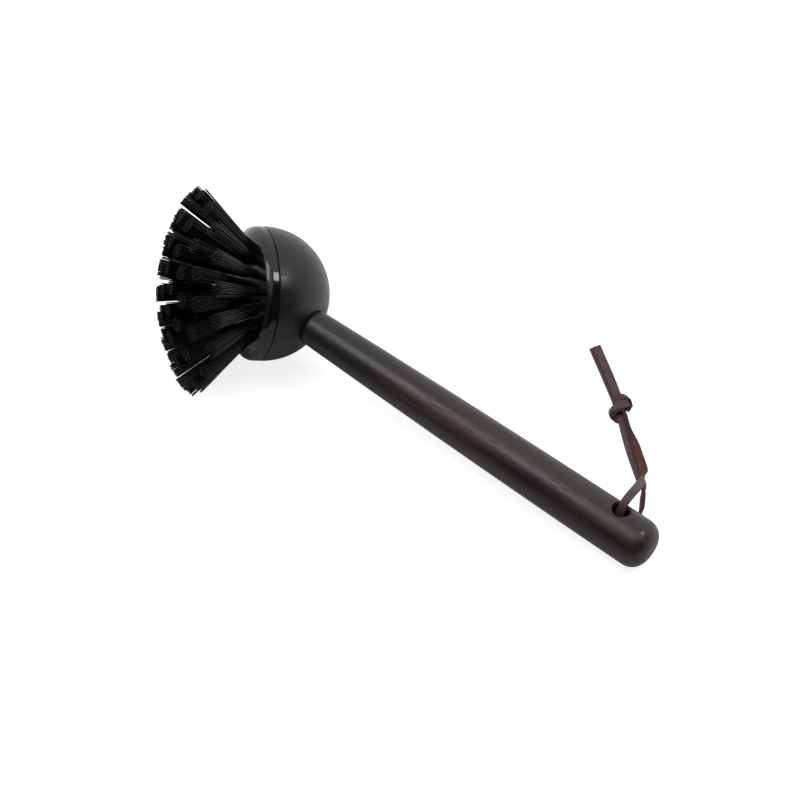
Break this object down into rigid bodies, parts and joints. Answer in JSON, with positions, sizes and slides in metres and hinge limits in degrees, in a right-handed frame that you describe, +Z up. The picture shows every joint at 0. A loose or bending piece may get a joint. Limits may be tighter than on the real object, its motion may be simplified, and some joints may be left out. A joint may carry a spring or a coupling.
{
  "type": "dish brush",
  "caption": "Round dish brush with a half-ball head on an angled round wooden handle, stiff fanned bristle tufts and a leather hanging lace.",
  "frame": {"origin": "the point of the level surface under the centre of the ball, where the ball rests as the brush lies", "axes": "+X along the handle seen from above, towards the butt; +Z up; the bristles point to -X and -Y"},
  "size_m": [0.2657, 0.1316, 0.085],
  "materials": {
    "stained_wood": "satin",
    "moulded_black": "gloss",
    "bristle": "gloss",
    "anchor_wire": "satin",
    "lace_leather": "matte"
  },
  "bodies": {
    "handle_side": {"handle": "stained_wood", "dome": "stained_wood", "lace_upper": "lace_leather", "lace_lower": "lace_leather", "lace_knot": "lace_leather"},
    "screw_head": {"brush_head": "moulded_black", "tuft_anchors": "anchor_wire", "tuft_01": "bristle", "tuft_02": "bristle", "tuft_03": "bristle", "tuft_04": "bristle", "tuft_05": "bristle", "tuft_06": "bristle", "tuft_07": "bristle", "tuft_08": "bristle", "tuft_09": "bristle", "tuft_10": "bristle", "tuft_11": "bristle", "tuft_12": "bristle", "tuft_13": "bristle", "tuft_14": "bristle", "tuft_15": "bristle", "tuft_16": "bristle", "tuft_17": "bristle", "tuft_18": "bristle", "tuft_19": "bristle", "tuft_20": "bristle", "tuft_21": "bristle", "tuft_22": "bristle", "tuft_23": "bristle", "tuft_24": "bristle", "tuft_25": "bristle", "tuft_26": "bristle", "tuft_27": "bristle", "tuft_28": "bristle", "tuft_29": "bristle", "tuft_30": "bristle", "tuft_31": "bristle", "tuft_32": "bristle", "tuft_33": "bristle", "tuft_34": "bristle", "tuft_35": "bristle", "tuft_36": "bristle", "tuft_37": "bristle", "tuft_38": "bristle", "tuft_39": "bristle", "tuft_40": "bristle", "tuft_41": "bristle", "tuft_42": "bristle", "tuft_43": "bristle", "tuft_44": "bristle", "tuft_45": "bristle", "tuft_46": "bristle", "tuft_47": "bristle", "tuft_48": "bristle", "tuft_49": "bristle", "tuft_50": "bristle", "tuft_51": "bristle", "tuft_52": "bristle", "tuft_53": "bristle"}
  },
  "joints": [
    {"name": "head_screw", "type": "hinge", "parent": "handle_side", "child": "screw_head", "pos_m": [0, 0, 0.03], "axis": [-0.5978, -0.6901, 0.4079], "range_deg": [0, 900]}
  ]
}
